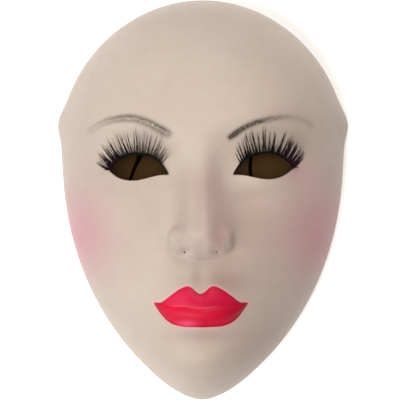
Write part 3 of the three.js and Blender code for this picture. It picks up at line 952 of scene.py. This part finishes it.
def lid_paint(latex, skin):
    """Painted dark brown shade on the rounded cut edge of each hole, and a black line along the upper lid."""
    cut = latex.attribute("hole_distance")
    # Painted shade: dark brown on the rounded cut edge round each hole
    skin = latex.mix(latex.times(latex.ramp(cut, 0.38, 0.12), 0.7), skin, linear(64, 40, 29))
    liner = latex.times(latex.ramp(cut, 1.1, 0.6), latex.attribute("upper_lid"))
    return latex.mix(liner, skin, linear(23, 18, 16))


# %% Latex material
def painted_latex():
    latex = Shader("painted_latex")
    broad, mottle, pores = latex.noise(28, 4), latex.noise(160, 3), latex.noise(1500, 2)
    skin = brow_paint(latex, ground_paint(latex, broad, mottle))

    lip = latex.attribute("lip_depth")
    halo = latex.times(latex.ramp(lip, -1.3, -0.6), latex.ramp(lip, 0.1, -0.3), 0.6)
    skin = latex.mix(halo, skin, linear(197, 132, 137))
    unevenness = latex.plus(mottle, -0.5)
    on_lip = latex.ramp(latex.plus(lip, latex.times(unevenness, 0.5)), -0.12, 0.18)
    skin = lid_paint(latex, latex.mix(on_lip, skin, lip_colour(latex, broad)))

    colour = latex.mix(latex.attribute("back"), skin, linear(173, 113, 40))
    rough = latex.plus(latex.ramp(on_lip, 0, 1, 0.46, 0.5), latex.times(unevenness, 0.1))
    grain = latex.bump(pores, 0.00006, 0.5, latex.bump(mottle, 0.0003, 0.25))
    latex.set(colour=colour, roughness=rough, specular=0.14, subsurface=0.12,
              subsurface_radius=(1.0, 0.45, 0.3), subsurface_scale=0.0025, normal=grain)
    return latex.material


# %% [markdown]
# ### One closed skin
#
# Latex has a front and a back. The back is the same grid moved in by the wall, and the two are joined
# at the rim and round each hole by a band that is rounded at both edges, so the casting is one closed
# solid.

# %% Close the skin
RIM_SHARES = (0, 0.3, 0.9, 1, 1, 1)  # how much of the back's colour each ring of the rim has
HOLE_SHARES = (0, 0, 0, 0, 0, 0.5)
NEAR_EYE = 6.0
NEAR_PINHOLE = 3.0


def both_skins():
    """The front, and the back one wall behind it. Beside a hole the back lies straight below the front."""
    outer = outer_grid.reshape(-1, 3).copy()
    normal = normal_grid.reshape(-1, 3)
    rim = edge_grid.ravel()
    upright = np.maximum(normal[:, 2], 0.05)
    to_eyes = edge_distance(outer[:, 0], outer[:, 1], EYE_HOLES, NEAR_EYE)
    to_pins = edge_distance(outer[:, 0], outer[:, 1], PINHOLES, NEAR_PINHOLE)
    sideways = ease(0.3, 5, to_eyes) * ease(0.3, 2.5, to_pins)
    sideways[rim] = 1
    inner = outer - normal * WALL * np.column_stack([sideways, sideways, np.ones(len(outer))])
    inner[:, 2] -= np.where(rim, 0, (1 - sideways) * WALL * (1 / upright - upright))
    outer[rim, 2] = inner[rim, 2] = EDGE_ROUND
    return outer, inner


def edge_finish(edge, on_rim):
    """Which way a cut edge bulges, and the share of the back's colour in each of its rings."""
    if on_rim:
        return np.tile((0.0, 0.0, -1.0), (len(edge), 1)), RIM_SHARES
    hole = min(HOLES, key=lambda outline: np.linalg.norm(outline.mean(0) - edge[:, :2].mean(0)))
    _, away = distance_to(hole, edge[:, 0], edge[:, 1])
    return np.column_stack([-away, np.zeros(len(edge))]), HOLE_SHARES


def closed_skin():
    """The casting's points and faces, and each point's share of the back's colour."""
    outer, inner = both_skins()
    used, triangles = np.unique(skin_triangles, return_inverse=True)
    triangles = triangles.reshape(-1, 3)
    count = len(used)
    points = [outer[used], inner[used]]
    back = [np.zeros(count), np.ones(count)]
    faces = triangles.tolist() + (triangles[:, ::-1] + count).tolist()
    total = 2 * count
    for loop in ordered_loops(triangles):
        bulge, shares = edge_finish(points[0][loop], edge_grid.ravel()[used[loop]].all())
        rings = rounded_edge(points[0][loop], points[1][loop], bulge)
        numbers = [total + k * len(loop) + np.arange(len(loop)) for k in range(len(rings))]
        numbers = [loop, *numbers, loop + count]
        for near, far in zip(numbers, numbers[1:]):
            faces += np.column_stack([np.roll(near, -1), near, far, np.roll(far, -1)]).tolist()
        points += rings
        back += [np.full(len(loop), share) for share in shares]
        total += len(rings) * len(loop)
    return np.vstack(points), faces, np.concatenate(back)


def paint_numbers(x, y):
    """Every number that the paint of the latex is drawn from."""
    across, away, along = brow_places(x, y)
    return {
        "lip_depth": lip_depth(x, y), "mouth_line": mouth_line(x, y), "lip_light_and_shade": lip_light_and_shade(x, y),
        "seam_highlight": seam_highlight_share(x), "brow_across": across, "brow_away": away, "brow_along": along,
        "right_side": (x > 0).astype(float), "blush_and_warm_shade": airbrush(x, y, BLUSH_AND_WARM_SHADE),
        "contour_and_shade": airbrush(x, y, CONTOUR_AND_SHADE), "powder_and_light": airbrush(x, y, POWDER_AND_LIGHT),
        "upper_lid": upper_lid(x, y), "hole_distance": edge_distance(x, y, EYE_HOLES, NEAR_EYE),
    }


def cast_mask():
    points, faces, back = closed_skin()
    mask = mesh_object("painted_mask", points, faces, painted_latex())
    for name, values in {**paint_numbers(points[:, 0], points[:, 1]), "back": back}.items():
        store_numbers(mask.data, name, values)
    return mask


mask = cast_mask()
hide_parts("mask_shell")
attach(mask, "root")
print("mask triangles:", triangle_count(mask))

# %% [markdown]
# ## False eyelashes
#
# A strip of false lashes is a thin black band with bundles of fibres knotted on it. A node tree makes
# the fibres: it spreads roots along the band, gives each the heading of its bundle, bends a line of
# points into a curl, and sweeps a tapering circle along it. The same tree runs three times for each
# eye: for the bundles, for the short single hairs that cross between them, and for the thick plum fan
# at the outer corner.

# %% Lines along the lid
BAND_WIDTH = 1.2
BAND_THICKNESS = 0.6
BAND_INSET = -0.15
BAND_LIFT = 0.5
BAND_TAIL = 2.6
BAND_SIDES = 10


def lid_point(cut, across, outward, above):
    """Places beside the upper edge of a hole, some way out from it and over the skin."""
    t = np.clip(across, -1, 1)
    ahead, behind = np.minimum(t + 0.02, 1), np.maximum(t - 0.02, -1)
    climb = eye_edge(ahead, True, cut["slant"]) - eye_edge(behind, True, cut["slant"])
    steep = np.clip(climb / ((ahead - behind) * EYE_WIDTH / 2), -1.2, 1.2)
    length = np.hypot(1, steep)
    x = cut["side"] * (EYE_X + across * EYE_WIDTH / 2 - outward * steep / length)
    y = eye_edge(t, True, cut["slant"]) + cut["lift"] + outward / length
    return np.stack([x, y, face_height(x, y) + above], -1)


def lash_band(name, cut, material, steps=90):
    """The glued band: pointed at the inner corner, and standing out as a small tick at the outer one."""
    across = np.linspace(-1.0, 1 + 2 * BAND_TAIL / EYE_WIDTH, steps)
    wide = BAND_WIDTH * (0.35 + 0.65 * ease(-1.0, -0.45, across)) * (1 - 0.55 * ease(1.0, 1.17, across))
    outward = BAND_INSET + BAND_WIDTH / 2
    above = BAND_LIFT + BAND_THICKNESS / 2
    middle = lid_point(cut, across, outward, above)
    out = unit(lid_point(cut, across, outward + 0.2, above) - middle)
    up = np.array([0.0, 0.0, 1.0])
    turn = np.linspace(0, 2 * np.pi, BAND_SIDES, endpoint=False)[None, :, None]
    rings = middle[:, None] + out[:, None] * np.cos(turn) * wide[:, None, None] / 2
    rings = rings + up * np.sin(turn) * BAND_THICKNESS / 2
    faces = tube_faces(len(rings), BAND_SIDES)
    if cut["side"] > 0:
        faces = [face[::-1] for face in faces]
    return mesh_object(name, rings.reshape(-1, 3), faces, material)


# %% Lash fibre material
def lash_material():
    """Black fibre that turns plum towards the outer corner."""
    fibre = Shader("lash_fibre")
    plum = fibre.ramp(fibre.attribute("across"), 0.35, 1.0, 0, 0.8)
    fibre.set(colour=fibre.mix(plum, linear(9, 6, 4), linear(34, 13, 26)), roughness=0.6, specular=0.06)
    return fibre.material


# %% The node tree of a lash fan
LASH_INPUTS = {
    "NodeSocketGeometry": ["Lid"],
    "NodeSocketInt": ["Count", "Bundles", "Seed"],
    "NodeSocketFloat": ["Length", "Inner lean", "Outer lean", "Curl", "Gather", "Scatter", "Root radius",
                        "Side"],
}
HAIR_POINTS = 9


class Geometry(Graph):
    """Adds nodes to a geometry tree."""

    def named(self, name, kind="FLOAT"):
        return self.node("GeometryNodeInputNamedAttribute", 0, {"Name": name}, data_type=kind)

    def store(self, geometry, name, value, kind="FLOAT"):
        return self.node("GeometryNodeStoreNamedAttribute", 0,
                         {"Geometry": geometry, "Name": name, "Value": value}, data_type=kind, domain="POINT")

    def random(self, low, high, number, seed):
        """A random number between low and high. The float kind has inputs 2 and 3, and output 1."""
        made = self.tree.nodes.new("FunctionNodeRandomValue")
        for key, value in zip((2, 3, 7, 8), (low, high, number, seed)):
            self.feed(made.inputs[key], value)
        return made.outputs[1]

    def between(self, amount, a, b):
        """Mixes two vectors. They are the Mix node's inputs 4 and 5, and its output 1."""
        return self.node("ShaderNodeMix", 1, {0: amount, 4: a, 5: b}, data_type="VECTOR")

    def vector(self, operation, *values):
        return self.node("ShaderNodeVectorMath", inputs=dict(enumerate(values)), operation=operation)

    def scaled(self, vector, amount):
        return self.node("ShaderNodeVectorMath", inputs={0: vector, "Scale": amount}, operation="SCALE")

    def heading(self, lean, side):
        """The level direction that leans some degrees outwards from straight up the forehead."""
        angle = self.math("RADIANS", lean)
        sideways = self.times(side, self.math("SINE", angle))
        return self.node("ShaderNodeCombineXYZ", inputs={0: sideways, 1: self.math("COSINE", angle)})


def lash_roots(g, given):
    """Points along the lid, each with its hair's length, lean and bundle's middle."""
    lid = g.node("GeometryNodeMeshToCurve", inputs={0: given["Lid"]})
    roots = g.node("GeometryNodeResampleCurve", 0, {"Curve": lid, "Count": given["Count"]}, mode="COUNT")
    hair = g.node("GeometryNodeInputIndex")
    share = g.math("DIVIDE", hair, given["Count"])
    bundle = g.math("FLOOR", g.times(share, given["Bundles"]))
    wander = g.random(-0.28, 0.28, bundle, given["Seed"])
    middle = g.math("DIVIDE", g.plus(bundle, 0.5, wander), given["Bundles"])
    on_lid = {"Curves": lid, "Factor": middle, "Value": g.named("across")}
    meet = g.node("GeometryNodeSampleCurve", 1, on_lid, mode="FACTOR", data_type="FLOAT",
                  use_all_curves=True)
    across = meet.node.outputs["Value"]
    inward = g.plus(1.0, g.math("MINIMUM", across, 0.0))
    inner = g.times(g.plus(g.times(inward, inward), -1.0), given["Inner lean"])
    outer = g.times(g.math("MAXIMUM", across, 0.0), given["Outer lean"])
    stray = g.times(g.random(-1.0, 1.0, hair, g.plus(given["Seed"], 7)), given["Scatter"])
    drift = g.random(-8.0, 8.0, bundle, g.plus(given["Seed"], 13))
    short_inner = g.math("POWER", g.math("MAXIMUM", g.plus(g.times(across, -1.0), -0.1), 0.0), 1.5)
    short_outer = g.math("POWER", g.math("MAXIMUM", g.plus(across, -0.3), 0.0), 1.5)
    bow = g.plus(1.0, g.times(short_inner, -0.9), g.times(short_outer, -0.7))
    long = g.times(given["Length"], bow, g.random(0.84, 1.12, bundle, g.plus(given["Seed"], 19)),
                   g.random(0.72, 1.0, hair, g.plus(given["Seed"], 23)))
    roots = g.store(roots, "root", g.node("GeometryNodeInputPosition"), "FLOAT_VECTOR")
    roots = g.store(roots, "meet", meet, "FLOAT_VECTOR")
    roots = g.store(roots, "lean", g.plus(inner, outer, stray, drift))
    return g.store(roots, "long", long)


def curled_hairs(g, given, roots):
    """A line of points on each root, bent into a curl, with t from 0 at the root to 1 at the tip."""
    line = g.node("GeometryNodeMeshLine", inputs={"Count": HAIR_POINTS})
    line = g.store(line, "t", g.math("DIVIDE", g.node("GeometryNodeInputIndex"), HAIR_POINTS - 1.0))
    hairs = g.node("GeometryNodeInstanceOnPoints", inputs={"Points": roots, "Instance": line})
    hairs = g.node("GeometryNodeRealizeInstances", inputs={0: hairs})
    t, lean, long = g.named("t"), g.named("lean"), g.named("long")
    back = g.math("SUBTRACT", 1.0, t)
    start = g.heading(g.times(lean, g.plus(1.0, given["Curl"])), given["Side"])
    end = g.heading(lean, given["Side"])
    run = g.vector("ADD", g.scaled(start, g.times(long, t, back, 0.6)), g.scaled(end, g.times(long, t, t)))
    rise = g.times(long, t, g.plus(0.84, g.times(t, -0.34)))
    gathered = g.times(given["Gather"], g.math("SQRT", t))
    foot = g.between(gathered, g.named("root", "FLOAT_VECTOR"), g.named("meet", "FLOAT_VECTOR"))
    place = g.vector("ADD", g.vector("ADD", foot, run), g.node("ShaderNodeCombineXYZ", inputs={2: rise}))
    return g.node("GeometryNodeSetPosition", inputs={"Geometry": hairs, "Position": place})


def lash_tree(material):
    tree = bpy.data.node_groups.new("lash_fan", "GeometryNodeTree")
    for kind, names in LASH_INPUTS.items():
        for name in names:
            tree.interface.new_socket(name, in_out="INPUT", socket_type=kind)
    tree.interface.new_socket("Lashes", in_out="OUTPUT", socket_type="NodeSocketGeometry")
    g = Geometry(tree)
    given = tree.nodes.new("NodeGroupInput").outputs
    result = tree.nodes.new("NodeGroupOutput")
    hairs = curled_hairs(g, given, lash_roots(g, given))
    curves = g.node("GeometryNodeMeshToCurve", inputs={0: hairs})
    taper = g.plus(1.0, g.times(g.named("t"), g.named("t"), -0.75))
    circle = g.node("GeometryNodeCurvePrimitiveCircle", inputs={"Resolution": 4, "Radius": 1.0})
    tubes = g.node("GeometryNodeCurveToMesh", inputs={
        "Curve": curves, "Profile Curve": circle, "Scale": g.times(given["Root radius"], taper),
        "Fill Caps": True})
    plain = g.node("GeometryNodeRealizeInstances", inputs={0: tubes})
    painted = g.node("GeometryNodeSetMaterial", inputs={"Geometry": plain, "Material": material})
    g.feed(result.inputs["Lashes"], painted)
    return tree


# %% Grow the lashes
LASH_START = -0.78
LASH_END = 1.03
CORNER_START = 0.6
STRIPS = {
    "left": {"leans": (36.0, 54.0), "roots": 170, "bundles": 34, "gather": 0.7, "radius": 0.085,
             "corner_length": 12.5, "seeds": (2, 37, 47)},
    "right": {"leans": (26.0, 42.0), "roots": 168, "bundles": 24, "gather": 0.85, "radius": 0.115,
              "corner_length": 14.5, "seeds": (5, 31, 53)},
}


def lid_line(name, cut, start, steps=80):
    """The line that the roots stand on, as a mesh of edges, with its place along the lid stored on it."""
    across = np.linspace(start, LASH_END, steps)
    points = lid_point(cut, across, BAND_INSET + BAND_WIDTH * 0.6, BAND_LIFT + BAND_THICKNESS)
    mesh = bpy.data.meshes.new(name)
    mesh.from_pydata((points * MM).tolist(), [(k, k + 1) for k in range(len(points) - 1)], [])
    store_numbers(mesh, "across", across)
    line = bpy.data.objects.new(name, mesh)
    bpy.context.scene.collection.objects.link(line)
    return line


def grow(line, tree, values):
    """Runs the tree on a lid line and returns what it grows as a plain mesh object."""
    modifier = line.modifiers.new(tree.name, "NODES")
    modifier.node_group = tree
    keys = {item.name: item.identifier for item in tree.interface.items_tree}
    for name, value in values.items():
        modifier[keys[name]] = value
    bpy.context.view_layer.update()
    graph = bpy.context.evaluated_depsgraph_get()
    mesh = bpy.data.meshes.new_from_object(
        line.evaluated_get(graph), preserve_all_data_layers=True, depsgraph=graph)
    mesh.shade_smooth()
    bpy.data.objects.remove(line)
    grown = bpy.data.objects.new(mesh.name, mesh)
    bpy.context.scene.collection.objects.link(grown)
    return grown


def lash_layers(eye):
    """What the tree is given for each of a strip's three layers, and where on the lid the layer starts."""
    own = STRIPS[eye]
    inner_lean, outer_lean = own["leans"]
    bundle_seed, single_seed, corner_seed = own["seeds"]
    shared = {"Side": float(EYES[eye]["side"]), "Curl": 0.4,
              "Inner lean": inner_lean, "Outer lean": outer_lean}
    bundles = {**shared, "Count": own["roots"], "Bundles": own["bundles"], "Length": 13.5 * MM,
               "Gather": own["gather"], "Scatter": 4.0, "Root radius": own["radius"] * MM,
               "Seed": bundle_seed}
    singles = {**shared, "Count": 130, "Bundles": 130, "Length": 6.0 * MM, "Gather": 0.0,
               "Scatter": 20.0, "Root radius": 0.08 * MM, "Seed": single_seed}
    corner = {**bundles, "Count": 84, "Bundles": 12, "Length": own["corner_length"] * MM, "Gather": 0.5,
              "Scatter": 8.0, "Seed": corner_seed}
    return [(bundles, LASH_START), (singles, LASH_START), (corner, CORNER_START)]


def lash_strip(eye, material, tree):
    strip = lash_band(f"{eye}_lash_strip", EYES[eye], material)
    fans = []
    for number, (values, start) in enumerate(lash_layers(eye)):
        line = lid_line(f"{eye}_fan_{number}", EYES[eye], start)
        fans.append(grow(line, tree, values))
    with bpy.context.temp_override(active_object=strip, selected_editable_objects=[strip, *fans]):
        bpy.ops.object.join()
    return strip


fibre = lash_material()
fan_tree = lash_tree(fibre)
for eye in EYES:
    strip = lash_strip(eye, fibre, fan_tree)
    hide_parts(f"{eye}_lashes")
    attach(strip, "root")
    print(eye, "lash strip triangles:", triangle_count(strip))
